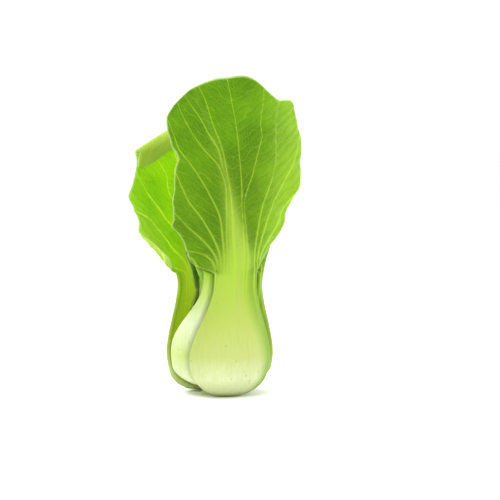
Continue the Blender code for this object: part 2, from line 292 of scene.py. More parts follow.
def laid_faces(leaf, angle, z):
    """Radius of the back and of the inner face of a leaf, laid inside the leaves outside it."""
    limits = []
    clearance = STALK_CLEARANCE + (BLADE_CLEARANCE - STALK_CLEARANCE) * eased(60, 105, z)
    for layer in laid[: laid.index(leaf) + 1]:
        back, share, side, tilt = section(layer, angle, z)
        join, top = layer.heights[1:]
        edge = np.clip(np.abs(share), 0, 1.1) ** 3
        phase = 2 * np.sign(share) + layer.wave_phase
        wave = np.sin(2 * np.pi * z / WAVE_LENGTH + phase)
        ruffle = RUFFLE_SHARE * edge * np.sin(2 * np.pi * z / RUFFLE_LENGTH + 2 * phase)
        waved = eased(join, join + 25, z) * (1 - eased(layer.calm_above - 15, layer.calm_above, z))
        back = back + layer.wave * edge * (wave + ruffle) * waved
        for limit in limits:
            back = 0.5 * (back + limit - np.sqrt((back - limit) ** 2 + SOFTNESS**2))
        outer, inner = depths(layer, share, side, tilt, z)
        beyond = (np.abs(share) - 1) * side
        free = eased(0, FREE_WITHIN, beyond) + eased(top, top + FREE_WITHIN, z)
        limits.append(back - inner - clearance + FREE_RISE * free)
    return back - outer, back - inner


def vein_field(leaf, across, z):
    """A count that is whole on each vein, the millimetres from one to the next, and each vein's width."""
    join, low = leaf.heights[1], np.minimum(z, leaf.heights[1])
    narrowing = np.where(z < join, stalk_half(leaf, low) / stalk_half(leaf, join), 1)
    lines, slants = [], []
    for knots in leaf.veins:
        height, place = np.array(knots, float).T
        slope = (place[-1] - place[-2]) / (height[-1] - height[-2])
        line, above = (
            curve(knots, np.clip(at, height[0], height[-1])) + slope * np.maximum(at - height[-1], 0)
            for at in (z, z + 1)
        )
        slants.append(np.sqrt(1 + np.where(z < join, 0, above - line) ** 2))
        lines.append(line * narrowing)
    count = np.minimum(across - lines[0], 0) / OUTER_GAP + np.maximum(across - lines[-1], 0) / OUTER_GAP
    gap = np.full(across.shape, OUTER_GAP)
    for a, b, slant_a, slant_b in zip(lines, lines[1:], slants, slants[1:]):
        between = np.maximum(b - a, 0.4)
        passed = np.clip((across - a) / between, 0, 1)
        count = count + passed
        slant = np.where(passed < 0.5, slant_a, slant_b)
        gap = np.where((across >= a) & (across < b), between / slant, gap)
    left_up = 1 - up_blade(leaf, z)
    middle = np.exp(-(((across - curve(leaf.rib_line, z)) / (0.35 * stalk_half(leaf, join))) ** 2))
    width = 0.4 + 1.2 * left_up**2 + 1.3 * middle * left_up
    return count, gap, width


def foot_rounding(z, start):
    """How far the rounded foot of a leaf has come out from the core at this height, 0 to 1."""
    left = 1 - np.clip((z - start) / FOOT_ROUNDING, 0, 1)
    return np.sqrt(1 - left**2)


def in_space(angle, radius, z):
    """Points in space from their angle round the axis, their radius and their height."""
    return np.stack([radius * np.cos(angle), radius * np.sin(angle), z], axis=-1).reshape(-1, 3) * MM


def leaf_mesh(leaf, stalk_rows, blade_rows, columns):
    """Both faces of the leaf as one closed skin, thin and round at its margin."""
    attach, join, top = leaf.heights
    t = np.linspace(-1, 1, columns)[None, :]
    share = np.sign(t) * (1 - (1 - np.abs(t)) ** MARGIN_FINER)
    foot = max(attach + ROOT_GAP, 0)
    low = np.linspace(0, 1, stalk_rows)[:, None] ** FOOT_FINER
    high = 1 - (1 - np.linspace(0, 1, blade_rows + 1)[1:, None]) ** TIP_FINER
    if leaf.crown:
        drop = np.interp(share, *np.array(leaf.crown, float).T)
        drop = np.pad(drop[0], CROWN_BLUR // 2, mode="edge")
        drop = np.convolve(drop, np.ones(CROWN_BLUR) / CROWN_BLUR, mode="valid")[None, :]
    else:
        drop = (top - leaf.shoulder) * np.abs(share) ** 2.1
    z = np.vstack([
        foot + (join - foot) * low + FOOT_LIFT * (1 - low) ** 2 * share**2,
        join + (top - join) * high - drop * high**3,
    ])
    left, right = half_widths(leaf, z[:, :1])
    side = np.where(share < 0, left, right)
    across = share * side
    radius, bent = middle_radius(leaf, z), bend(leaf, z)
    turned = across / bent
    angle = bearing(leaf, z) + np.arctan2(bent * np.sin(turned), radius - bent + bent * np.cos(turned))
    outer, inner = laid_faces(leaf, angle, z)
    for height, place, length, width, rise in leaf.folds:
        swell = rise * np.exp(-(((z - height) / length) ** 2) - ((across - place) / width) ** 2)
        outer, inner = outer + swell, inner + swell
    root = curve(CORE, z) + ROOT_GAP
    outer = root + (outer - root) * foot_rounding(z, attach)
    inner = root + (inner - root) * foot_rounding(z, attach + 0.5 * leaf.thick)
    inner = np.minimum(inner, np.maximum(outer - LEAST_THICKNESS, root))

    # The margin thins to nothing over half the thickness, so that it is round.
    up = np.concatenate([[0], np.cumsum(np.diff(z[:, columns // 2]))])[:, None]
    edge = np.minimum((1 - np.abs(share)) * side, up[-1] - up)
    reach = np.clip(edge / np.maximum(0.55 * (outer - inner), 0.1), 0, 1)
    middle, half = (outer + inner) / 2, (outer - inner) / 2 * np.sqrt(1 - (1 - reach) ** 2)
    outer, inner = middle + half, middle - half
    outer_z, inner_z = z, z
    if leaf.rolled:
        outer, outer_z = roll_over(middle, outer, z, across)
        inner, inner_z = roll_over(middle, inner, z, across)

    rows = len(z)
    number = np.arange(rows * columns).reshape(rows, columns)
    under = number + rows * columns
    under[:, 0], under[:, -1], under[-1] = number[:, 0], number[:, -1], number[-1]
    quads = []
    a, b, c, d = number[:-1, :-1], number[:-1, 1:], number[1:, 1:], number[1:, :-1]
    quads.append(np.stack([a, b, c, d], -1).reshape(-1, 4))
    a, b, c, d = under[:-1, :-1], under[1:, :-1], under[1:, 1:], under[:-1, 1:]
    quads.append(np.stack([a, b, c, d], -1).reshape(-1, 4))
    a, b, c, d = number[0, :-1], under[0, :-1], under[0, 1:], number[0, 1:]
    quads.append(np.stack([a, b, c, d], -1).reshape(-1, 4))
    used, quads = np.unique(np.vstack(quads), return_inverse=True)
    quads = quads.reshape(-1, 4)
    faces = [tuple(dict.fromkeys(quad)) for quad in quads.tolist()]
    points = np.vstack([in_space(angle, outer, outer_z), in_space(angle, inner, inner_z)])
    mesh = bpy.data.meshes.new(leaf.name)
    mesh.from_pydata(points[used].tolist(), [], faces)

    count, gap, width = vein_field(leaf, across, z)
    wing = np.exp(-(rib_share(leaf, across - curve(leaf.rib_line, z), z) ** 2) * 0.9)
    high_up = up_blade(leaf, z)
    pale = np.where(z < join, 1, wing * (1 - 0.85 * eased(0, 0.72, high_up)))
    pale = np.maximum(pale, 1 - eased(join - 3, join + 5, z))
    near = np.abs(count - np.round(count)) * gap
    rib = np.exp(-((near / (1.1 * width)) ** 2)) * (1 - 0.7 * high_up) * eased(join - 25, join + 12, z)
    rib = rib * eased(1, 3.5, gap)
    # Painted light: one side of the blade, above the stalk, is made lighter towards its margin.
    tone = np.where(share < 0, *leaf.tone) * eased(0.15, 0.9, np.abs(share)) * eased(join, join + 14, z)
    quilted = np.ones(across.shape)
    if leaf.rolled:
        # The lower blade's painted light fades upwards, and the flap is made lighter: paler underside and
        # painted light.
        on_flap = eased(-FLAP_BLEND, FLAP_BLEND, z - ROLL_HEIGHT + ROLL_SLOPE * across)
        tone = np.maximum(tone * (1 - 0.85 * eased(*PAINTED_LIGHT_FADES, z)), FLAP_PALENESS_AND_PAINTED_LIGHT * on_flap)
        quilted = 1 - FLAP_CALM * on_flap
    # Painted shade: the stalk's margin is greened a little on both sides, and strongly on a side in shade.
    flush = np.where(share < 0, *leaf.flush) * (1 - eased(3, 18, (1 - np.abs(share)) * side))
    fields = {
        "flush": flush, "tone": tone, "vein_count": count, "vein_gap": gap, "vein_width": width,
        "pale": pale, "rib": rib, "edge": edge, "quilted": quilted,
        "ladder": (z - RUNG_SLANT * np.abs(across)) / RUNG_SPACING,
    }
    for field, values in fields.items():
        both = np.concatenate([values.reshape(-1), values.reshape(-1)])[used]
        mesh.attributes.new(field, "FLOAT", "POINT").data.foreach_set("value", both.astype(np.float32))
    inside = np.concatenate([np.zeros(rows * columns), np.ones(rows * columns)])[used]
    mesh.attributes.new("inside", "FLOAT", "POINT").data.foreach_set("value", inside.astype(np.float32))
    return mesh


# The side veins climb from one main vein to the next like the rungs of a ladder. Where they lie
# drifts from place to place. Sizes are in millimetres.
DRIFT_SIZE, DRIFT = 8.333, 1.3
FACE_DEPTH = 0.35


def ladder(tree, count, rungs, where):
    """How far a point is from the nearest side vein: 0 on it, 0.5 halfway to the next."""
    drift = add(tree, "ShaderNodeTexNoise", {"Vector": where, "Scale": 1 / (DRIFT_SIZE * MM), "Detail": 2})
    between = add(tree, "ShaderNodeMath", [count], operation="FLOOR")
    own = add(tree, "ShaderNodeTexWhiteNoise", {"W": between}, noise_dimensions="1D")
    rung = add(tree, "ShaderNodeMath", [rungs, own], operation="ADD")
    rung = add(tree, "ShaderNodeMath", [drift, DRIFT, rung], operation="MULTIPLY_ADD")
    rung = add(tree, "ShaderNodeMath", [rung], operation="FRACT")
    rung = add(tree, "ShaderNodeMath", [rung, 0.5], operation="SUBTRACT")
    return add(tree, "ShaderNodeMath", [rung], operation="ABSOLUTE")


def raised_veins():
    """Raises the veins out of the back of a leaf, sinks them in its face, and quilts the blade between."""
    tree = bpy.data.node_groups.new("raised_veins", "GeometryNodeTree")
    kinds = (
        ("Leaf", "Geometry"), ("Vein height", "Float"), ("Quilt height", "Float"),
        ("Quilt size", "Float"), ("Pillow height", "Float"), ("Seed", "Float"), ("Skin", "Material"),
    )
    for label, kind in kinds:
        tree.interface.new_socket(label, in_out="INPUT", socket_type="NodeSocket" + kind)
    tree.interface.new_socket("Leaf", in_out="OUTPUT", socket_type="NodeSocketGeometry")
    given = add(tree, "NodeGroupInput").node.outputs
    inside, rib, pale, edge, count, rungs, quilted = (
        add(tree, "GeometryNodeInputNamedAttribute", {"Name": name}, data_type="FLOAT")
        for name in ("inside", "rib", "pale", "edge", "vein_count", "ladder", "quilted")
    )

    # The veins stand out of the back, and are sunk less deep in the face.
    raised = add(tree, "ShaderNodeMath", [inside, -1 - FACE_DEPTH, 1], operation="MULTIPLY_ADD")
    veins = add(tree, "ShaderNodeMath", [rib, raised], operation="MULTIPLY")
    veins = add(tree, "ShaderNodeMath", [veins, given["Vein height"]], operation="MULTIPLY")

    # The quilting goes out at the back where it goes in at the face, so that the blade stays thin.
    scale = add(tree, "ShaderNodeMath", [1, given["Quilt size"]], operation="DIVIDE")
    noise = {"W": given["Seed"], "Scale": scale, "Detail": 2}
    waves = add(tree, "ShaderNodeTexNoise", noise, noise_dimensions="4D")
    waves = add(tree, "ShaderNodeMath", [waves, 0.5], operation="SUBTRACT")
    quilt = add(tree, "ShaderNodeMath", [waves, given["Quilt height"]], operation="MULTIPLY")
    rung = ladder(tree, count, rungs, add(tree, "GeometryNodeInputPosition"))
    pillow = add(tree, "ShaderNodeMapRange", [rung, 0, 0.42, -0.5, 0.5], **SMOOTH)
    quilt = add(tree, "ShaderNodeMath", [pillow, given["Pillow height"], quilt], operation="MULTIPLY_ADD")
    firm = add(tree, "ShaderNodeMath", [pale, rib], operation="MAXIMUM")
    open_blade = add(tree, "ShaderNodeMath", [1, firm], operation="SUBTRACT")
    off_margin = add(tree, "ShaderNodeMapRange", [edge, 0, 3], **SMOOTH)
    facing = add(tree, "ShaderNodeMath", [inside, -2, 1], operation="MULTIPLY_ADD")
    for share in (open_blade, off_margin, facing, quilted):
        quilt = add(tree, "ShaderNodeMath", [quilt, share], operation="MULTIPLY")

    out = add(tree, "ShaderNodeMath", [veins, quilt], operation="ADD")
    normal = add(tree, "GeometryNodeInputNormal")
    offset = add(tree, "ShaderNodeVectorMath", {0: normal, "Scale": out}, operation="SCALE")
    moved = add(tree, "GeometryNodeSetPosition", {"Geometry": given["Leaf"], "Offset": offset})
    real = add(tree, "GeometryNodeRealizeInstances", [moved])
    done = add(tree, "GeometryNodeSetMaterial", {"Geometry": real, "Material": given["Skin"]})
    add(tree, "NodeGroupOutput", [done])
    return tree


VEIN_TREE = raised_veins()

# The sizes of the patterns in a leaf's skin, in millimetres. The threads, the smallest veins, are
# drawn about 2 mm apart, coarser than real, so that they show.
THREAD_SPACING, THREAD_PATCH, NET_SIZE, SHADE_PATCH, GLOSS_PATCH = 1.9, 14.29, 2.083, 29.41, 3.846
STREAK_WIDTH, STREAK_SQUEEZE, PIT_SPACING, PIT_PATCH, RAMP_TOP = 1.111, 0.045, 5.263, 16.67, 78


def leaf_skin(name, blade, deep, vein, stalk, face="#7ba01a", pale_back=0.0, glow=0.35, stalk_glow=0.12):
    """Living leaf skin: thin, waxy, softly glossy, and lit through where it is thin.

    stalk holds its colours from the foot up to the height of RAMP_TOP.
    """
    skin, tree, where = skin_tree(name)
    pale, count, edge, gap, width, tone, inside, flush, rungs = (
        add(tree, "ShaderNodeAttribute", output="Fac", attribute_name=field)
        for field in (
            "pale", "vein_count", "edge", "vein_gap", "vein_width", "tone", "inside", "flush", "ladder",
        )
    )

    # The main veins lie where the count is whole.
    whole = add(tree, "ShaderNodeMath", [count], operation="ROUND")
    near = add(tree, "ShaderNodeMath", [count, whole], operation="SUBTRACT")
    near = add(tree, "ShaderNodeMath", [near], operation="ABSOLUTE")
    near = add(tree, "ShaderNodeMath", [near, gap], operation="MULTIPLY")
    near = add(tree, "ShaderNodeMath", [near, width], operation="DIVIDE")
    near = add(tree, "ShaderNodeMapRange", [near, 0.1, 0.95, 1, 0], **SMOOTH)
    roomy = add(tree, "ShaderNodeMapRange", [gap, 1, 3, 0.3, 1], **SMOOTH)
    main_vein = add(tree, "ShaderNodeMath", [near, roomy], operation="MULTIPLY")
    rung = ladder(tree, count, rungs, where)
    side_vein = add(tree, "ShaderNodeMapRange", [rung, 0, 0.08, 0.5, 0], **SMOOTH)

    # The threads run along with the main veins, stronger in some patches, with a faint net over all.
    patchy = {"Vector": where, "Scale": 1 / (THREAD_PATCH * MM), "Detail": 2}
    patchy = add(tree, "ShaderNodeTexNoise", patchy)
    apart = add(tree, "ShaderNodeMath", [count], operation="FRACT")
    apart = add(tree, "ShaderNodeMath", [apart, gap], operation="MULTIPLY")
    apart = add(tree, "ShaderNodeMath", [apart, THREAD_SPACING], operation="DIVIDE")
    apart = add(tree, "ShaderNodeMath", [patchy, 1.4, apart], operation="MULTIPLY_ADD")
    apart = add(tree, "ShaderNodeMath", [apart], operation="FRACT")
    apart = add(tree, "ShaderNodeMath", [apart, 0.5], operation="SUBTRACT")
    apart = add(tree, "ShaderNodeMath", [apart], operation="ABSOLUTE")
    thread = add(tree, "ShaderNodeMapRange", [apart, 0.02, 0.2, 1, 0], **SMOOTH)
    strength = add(tree, "ShaderNodeMapRange", [patchy, 0.4, 0.62, 0.05, 0.26], **SMOOTH)
    thread = add(tree, "ShaderNodeMath", [thread, strength], operation="MULTIPLY")
    net_cells = {"Vector": where, "Scale": 1 / (NET_SIZE * MM)}
    cells = add(tree, "ShaderNodeTexVoronoi", net_cells, feature="DISTANCE_TO_EDGE")
    net = add(tree, "ShaderNodeMapRange", [cells, 0.02, 0.16, 1, 0], **SMOOTH)
    faint_net = add(tree, "ShaderNodeMath", [net, 0.16], operation="MULTIPLY")
    veins = main_vein
    for finer in (side_vein, thread, faint_net):
        veins = add(tree, "ShaderNodeMath", [veins, finer], operation="MAXIMUM")

    # The blade is shaded in broad patches, lighter in its veins and at its margin, a little paler on its
    # back, and painted lighter on one side, as light falling on it or coming through it.
    broad = add(tree, "ShaderNodeTexNoise", {"Vector": where, "Scale": 1 / (SHADE_PATCH * MM), "Detail": 3})
    shaded = add(tree, "ShaderNodeMapRange", [broad, 0.3, 0.7], **SMOOTH)
    lighter = add(tree, "ShaderNodeMath", [inside, -pale_back, pale_back], operation="MULTIPLY_ADD")
    lighter = add(tree, "ShaderNodeMath", [tone, lighter], operation="MAXIMUM")
    veined = add(tree, "ShaderNodeMath", [veins, 0.85], operation="MULTIPLY")
    margin = add(tree, "ShaderNodeMapRange", [edge, 0.4, 1.5, 0.85, 0], **SMOOTH)
    colour = linear(blade)
    for amount, tint in ((shaded, deep), (lighter, vein), (veined, vein), (margin, "#bcd47c")):
        colour = add(tree, "ShaderNodeMix", {0: amount, 6: colour, 7: linear(tint)}, 2, data_type="RGBA")

    # The stalk turns from its pale foot to green, with long streaks and small scattered pits. It is
    # greener on its inner side, a little greener at its thin margins, and much greener on a side turned
    # from the light, which is painted shade. The main veins run down into its top.
    # The ramp's darkest colour, at the very foot, is painted shade where the head stands on the floor.
    height = add(tree, "ShaderNodeSeparateXYZ", [where], "Z")
    height = add(tree, "ShaderNodeMath", [height, 1 / (RAMP_TOP * MM)], operation="MULTIPLY")
    flesh = add(tree, "ShaderNodeValToRGB", [height])
    stops = flesh.node.color_ramp.elements
    stops[0].color, stops[1].color = linear(stalk[0][1]), linear(stalk[-1][1])
    for place, tint in stalk[1:-1]:
        stops.new(place).color = linear(tint)
    long_way = add(tree, "ShaderNodeMapping", {"Vector": where, "Scale": (1, 1, STREAK_SQUEEZE)})
    streaks = {"Vector": long_way, "Scale": 1 / (STREAK_WIDTH * MM), "Detail": 3}
    streaks = add(tree, "ShaderNodeTexNoise", streaks)
    streaked = add(tree, "ShaderNodeMapRange", [streaks, 0.35, 0.75, 0, 0.22], **SMOOTH)
    pits = add(tree, "ShaderNodeTexVoronoi", {"Vector": where, "Scale": 1 / (PIT_SPACING * MM)})
    pits = add(tree, "ShaderNodeMapRange", [pits, 0.06, 0.17, 1, 0], **SMOOTH)
    scattered = add(tree, "ShaderNodeTexNoise", {"Vector": where, "Scale": 1 / (PIT_PATCH * MM)})
    scattered = add(tree, "ShaderNodeMapRange", [scattered, 0.4, 0.52], **SMOOTH)
    pits = add(tree, "ShaderNodeMath", [pits, scattered], operation="MULTIPLY")
    pitted = add(tree, "ShaderNodeMath", [pits, 0.45], operation="MULTIPLY")
    off_edge = add(tree, "ShaderNodeMapRange", [edge, 1.5, 8, 0, 0.8], **SMOOTH)
    off_foot = add(tree, "ShaderNodeMapRange", [height, 0.1, 0.45], **SMOOTH)
    green = add(tree, "ShaderNodeMath", [inside, off_edge], operation="MULTIPLY")
    green = add(tree, "ShaderNodeMath", [green, off_foot], operation="MULTIPLY")
    green = add(tree, "ShaderNodeMath", [flush, green], operation="MAXIMUM")
    run_down = add(tree, "ShaderNodeMapRange", [height, 0.5, 1, 0, 0.6], **SMOOTH)
    run_down = add(tree, "ShaderNodeMath", [main_vein, run_down], operation="MULTIPLY")
    tints = ((streaked, stalk[-1][1]), (green, face), (pitted, "#93a548"), (run_down, vein))
    for amount, tint in tints:
        flesh = add(tree, "ShaderNodeMix", {0: amount, 6: flesh, 7: linear(tint)}, 2, data_type="RGBA")
    colour = add(tree, "ShaderNodeMix", {0: pale, 6: colour, 7: flesh}, 2, data_type="RGBA")

    gloss = add(tree, "ShaderNodeTexNoise", {"Vector": where, "Scale": 1 / (GLOSS_PATCH * MM), "Detail": 4})
    rough = add(tree, "ShaderNodeMapRange", [gloss, 0.3, 0.7, 0.36, 0.52], **SMOOTH)
    fine = add(tree, "ShaderNodeMath", [thread, net], operation="ADD")
    fine = add(tree, "ShaderNodeMath", [fine, 0.5, side_vein], operation="MULTIPLY_ADD")
    on_blade = add(tree, "ShaderNodeMath", [1, pale], operation="SUBTRACT")
    fine = add(tree, "ShaderNodeMath", [fine, on_blade], operation="MULTIPLY")
    grain = add(tree, "ShaderNodeMath", [streaks, 0.35], operation="MULTIPLY")
    grain = add(tree, "ShaderNodeMath", [grain, pits], operation="SUBTRACT")
    relief = add(tree, "ShaderNodeMath", [grain, pale, fine], operation="MULTIPLY_ADD")
    bump = add(tree, "ShaderNodeBump", {"Strength": 0.55, "Distance": 0.35 * MM, "Height": relief})
    shader = add(tree, "ShaderNodeBsdfPrincipled", {
        "Base Color": colour, "Roughness": rough, "Normal": bump, "Specular IOR Level": 0.12,
        "Subsurface Weight": 0.22, "Subsurface Radius": (0.7, 1.0, 0.25), "Subsurface Scale": 3.5 * MM,
    })
    through = add(tree, "ShaderNodeBsdfTranslucent", {"Color": colour, "Normal": bump})
    lit = add(tree, "ShaderNodeMapRange", [pale, 0, 1, glow, stalk_glow], **SMOOTH)
    # Where a side is painted lighter, less light goes through it and more is reflected: also painted light.
    lit = add(tree, "ShaderNodeMath", [tone, -0.95, lit], operation="MULTIPLY_ADD")
    both = add(tree, "ShaderNodeMixShader", [lit, shader, through])
    add(tree, "ShaderNodeOutputMaterial", [both])
    return skin


QUILT_SIZE, PILLOW_SHARE = 11, 0.75


def grow(leaf, skin, seed, stalk_rows, blade_rows, columns, vein_height=0.5, quilt_height=1.1):
    """Makes the leaf as one piece, which stands for its stalk and its blade."""
    piece = bpy.data.objects.new(leaf.name + "_grown", leaf_mesh(leaf, stalk_rows, blade_rows, columns))
    bpy.context.collection.objects.link(piece)
    raise_up = piece.modifiers.new("veins", "NODES")
    raise_up.node_group = VEIN_TREE
    given = {
        "Vein height": vein_height * MM, "Quilt height": quilt_height * MM,
        "Quilt size": QUILT_SIZE * MM, "Pillow height": PILLOW_SHARE * quilt_height * MM,
        "Seed": float(seed), "Skin": skin,
    }
    for socket in VEIN_TREE.interface.items_tree:
        if socket.in_out == "INPUT" and socket.name in given:
            raise_up[socket.identifier] = given[socket.name]
    shown = piece.evaluated_get(bpy.context.evaluated_depsgraph_get())
    piece.data = bpy.data.meshes.new_from_object(shown)
    piece.modifiers.clear()
    piece.data.shade_smooth()
    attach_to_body(piece, "root")
    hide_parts(leaf.name + "_stalk", leaf.name + "_blade")


front_leaf = Leaf(
    "front_leaf", (-70, -63, -77), 1, 56, 7.4, (-0.7, 78, 200), 182, 13.5, 3, 66,
    left=(
        (78, 15.5), (84, 31.5), (92, 34.5), (99, 36), (103, 38.5), (107, 43), (112, 41), (118, 39.2),
        (128, 37.5), (138, 36.5), (144, 34.8), (149, 33.4), (153, 34.6), (157, 37.5), (162, 40),
        (167, 41.8), (173, 42), (182, 38),
    ),
    right=(
        (78, 15.5), (84, 22), (97, 31), (112, 41), (128, 48.5), (144, 52), (156, 53), (165, 52),
        (174, 49), (182, 44),
    ),
    # The right of its stalk is painted greener as shade, and the right of its blade painted lighter as
    # light.
    wave=0.8, wave_phase=0.4, flush=(0.1, 1), tone=(0, 0.33),
    rib_line=(
        (78, 0), (110, -0.4), (122, -1.4), (137, -4.6), (147, -7), (156, -10), (168, -15), (185, -22),
        (200, -28),
    ),
    crown=(
        (-1, 18.5), (-0.88, 13.7), (-0.73, 8.4), (-0.49, 4.3), (-0.3, 1.9), (-0.1, 1.4), (0, 0.4), (0.1, 0),
        (0.2, 0.6), (0.37, 4.6), (0.53, 11.4), (0.66, 15), (0.8, 14.4), (0.92, 14.4), (1, 20.5),
    ),
    folds=(
        (165, 25, 34, 4.5, 1.7), (150, -37, 17, 6, 3.2), (112, -38, 9, 7, -2.2), (140, 50, 13, 9, 2.2),
        (176, 5, 16, 9, 1.4), (122, 38, 12, 8, -1.8), (65, -1, 2.6, 0.9, 0.7),
    ),
    veins=(
        ((78, -14.9), (83, -16.6), (88, -20.3), (91, -26.4), (92, -32.3)),
        ((78, -13.7), (87, -15.0), (95, -19.2), (102, -25.1), (108, -31.4), (112, -35.0)),
        ((78, -12.1), (91, -13.0), (103, -16.5), (115, -21.8), (124, -27.9), (133, -32.4), (140, -34.7)),
        ((78, -10.3), (99, -9.7), (117, -9.7), (130, -16.0), (145, -25.6), (155, -32.7), (164, -36.7)),
        (
            (78, -8.2), (99, -7.0), (120, -3.9), (137, -5.5), (146, -9.8), (154, -17.3), (162, -23.7),
            (170, -28.6), (179, -33.1),
        ),
        (
            (78, -6.3), (99, -5.2), (120, -2.4), (137, -4.7), (147, -7.2), (156, -9.9), (164, -15.3),
            (173, -20.2), (180, -25.1), (185, -29.0),
        ),
        (
            (78, -4.1), (99, -3.4), (120, -1.2), (139, -3.9), (157, -7.8), (171, -13.4), (188, -19.5),
            (192, -21.7),
        ),
        ((78, 3.6), (99, 4.2), (114, 6.0), (128, 5.8), (147, 4.1), (173, 0.3), (192, -3.8)),
        (
            (78, 4.5), (109, 6.8), (126, 7.7), (139, 12.2), (155, 16.4), (162, 18.2), (171, 17.0),
            (183, 18.2), (188, 18.6),
        ),
        (
            (78, 12.1), (95, 13.0), (116, 18.6), (131, 23.7), (147, 28.5), (159, 27.5), (180, 27.9),
            (184, 28.8),
        ),
        ((78, 15.8), (94, 16.5), (109, 21.9), (126, 31.0), (139, 39.4), (149, 45.4), (159, 48.7)),
        ((78, 17.9), (91, 20.0), (103, 27.1), (116, 37.8), (128, 47.5), (137, 52.0)),
        ((78, 19.5), (84, 26.2), (94, 37.6), (103, 43.9)),
    ),
)
laid.append(front_leaf)
# The first stop, darker olive at the very foot, is painted shade where the stalk stands on the floor.
STALK_COLOURS = (
    (0.0, "#959f62"), (0.05, "#c4cc98"), (0.16, "#d3daae"), (0.34, "#bcc67a"), (0.6, "#b1c15f"),
    (1.0, "#9fbb43"),
)
outer_skin = leaf_skin("outer_leaf_skin", "#6a9d00", "#528200", "#a6ca38", STALK_COLOURS)
grow(front_leaf, outer_skin, 1, 70, 205, 141)

# The back left leaf is as old as the front leaf. Its blade is thin and shows its face, with light
# coming through from behind, and its tip has rolled over forwards as it wilted.
ROLL_RADIUS = 5.0
ROLL_TIP_RADIUS = 2.0
ROLL_HEIGHT = 168.0
ROLL_SLOPE = 0.33
ROLL_TURN = np.radians(185)
ROLL_NARROWS = (15, 46)
# Low down the blade is painted lighter at one side, as light coming through it. The flap is lighter
# all over, partly its own paler underside and partly painted light, and less quilted.
PAINTED_LIGHT_FADES = (92, 122)
FLAP_BLEND, FLAP_PALENESS_AND_PAINTED_LIGHT, FLAP_CALM = 6, 0.38, 0.85


def roll_over(middle, radius, z, across):
    """Rolls what is above the roll line over inwards. middle is the radius of the blade's middle."""
    line = ROLL_HEIGHT - ROLL_SLOPE * across
    roll = ROLL_RADIUS + (ROLL_TIP_RADIUS - ROLL_RADIUS) * eased(*ROLL_NARROWS, across)
    past = np.maximum(z - line, 0)
    turned = np.minimum(past / roll, ROLL_TURN)
    rest = past - turned * roll
    arm = roll - (middle - radius)
    rolled_radius = middle - roll + arm * np.cos(turned) - rest * np.sin(turned)
    rolled_z = line + arm * np.sin(turned) + rest * np.cos(turned)
    return np.where(past > 0, rolled_radius, radius), np.where(past > 0, rolled_z, z)


def fan_of_veins(leaf, laterals=5, slant=1.25, lowest=0.03, highest=0.55):
    """The usual fan: a midrib, and on each side laterals that leave it one above the other."""
    _, join, top = leaf.heights
    z = np.linspace(join, top, 12)
    up = (z - join) / (top - join)
    lines = [tuple(zip(z, 0.02 * (z - join) * np.sin(up * 5)))]
    for k in range(1, laterals + 1):
        share = (k - 1) / max(laterals - 1, 1)
        for hand in (-1, 1):
            leaves_at = join + (top - join) * (highest + (lowest - highest) * (share + 0.04 * hand))
            rise = np.maximum(z - leaves_at, 0)
            out = slant * rise / (1 + rise / (0.42 * (top - join)))
            bundle = stalk_half(leaf, join) * 0.88 * k / laterals * curve(RIB_WIDTH, up)
            place = hand * (bundle + out + 0.5 * np.sin(z / 8 + 2 * k) * eased(0, 12, rise))
            lines = [tuple(zip(z, place))] + lines if hand < 0 else lines + [tuple(zip(z, place))]
    return tuple(lines)


back_left_leaf = Leaf(
    "back_left_leaf", (133, 146, 128), 1.042, 58, 7.0, (-0.4, 76, 184), 166, 12, 0, 120,
    left=((76, 14), (82, 22), (95, 30), (115, 36), (140, 37), (160, 33), (176, 27)),
    right=(
        (76, 16), (78, 26), (80.5, 36), (84, 44), (88, 50), (92, 53.5), (98, 55), (105, 54), (116, 52),
        (127, 53.5), (131, 53), (138, 50), (145, 45.5), (151, 46), (156, 48.5), (162, 50), (168, 49),
        (176, 46),
    ),
    # Its blade's right side is painted lighter low down, as light coming through it.
    wave=1.5, wave_phase=2.1, flat_at=86, tone=(0, 0.36), calm_above=148, rolled=True,
)
back_left_leaf.veins = fan_of_veins(back_left_leaf)[:5] + (
    ((75, -3.5), (85, -5.0), (95, -4.8), (106, -2.6), (116, 0.1), (126, 2.0), (137, 4.3), (148, 7.8)),
    (
        (75, -1.8), (85, -2.5), (95, -1.8), (106, 1.5), (114, 6.1), (120, 11.0), (128, 15.6),
        (138, 16.8), (145, 22.2),
    ),
    (
        (75, 0.5), (82, 0.8), (91, 1.5), (100, 5.7), (104, 11.1), (110, 19.3), (117, 25.9), (124, 32.3),
        (129, 37.5), (133, 41.7),
    ),
    ((75, 2.5), (83, 5.2), (92, 15.6), (104, 28.6), (112, 40.5), (115, 48.0)),
    ((75, 6.0), (77, 8.5), (80, 23.3), (84, 34.5)),
)
laid.append(back_left_leaf)
# Painted light: a lighter, yellower copy of the leaf skin, with a lighter stalk face, for the light through
# it.
painted_light_skin = leaf_skin(
    "painted_light_leaf_skin", "#b0d62c", "#92c422", "#e2f274", STALK_COLOURS,
    face="#cee44e", pale_back=0.05, glow=0.68, stalk_glow=0.58,
)
grow(back_left_leaf, painted_light_skin, 2, 60, 165, 121)

# The right, left and back leaves close the ring behind the front leaf. The left leaf's stalk bulges
# out nearly white beside it, and their blades stand up inside the two outer ones.
PLAIN_SIDE = (
    (0, 0.0), (0.05, 0.22), (0.15, 0.48), (0.3, 0.74), (0.5, 0.94), (0.66, 1.0), (0.82, 0.95), (1, 0.76),
)


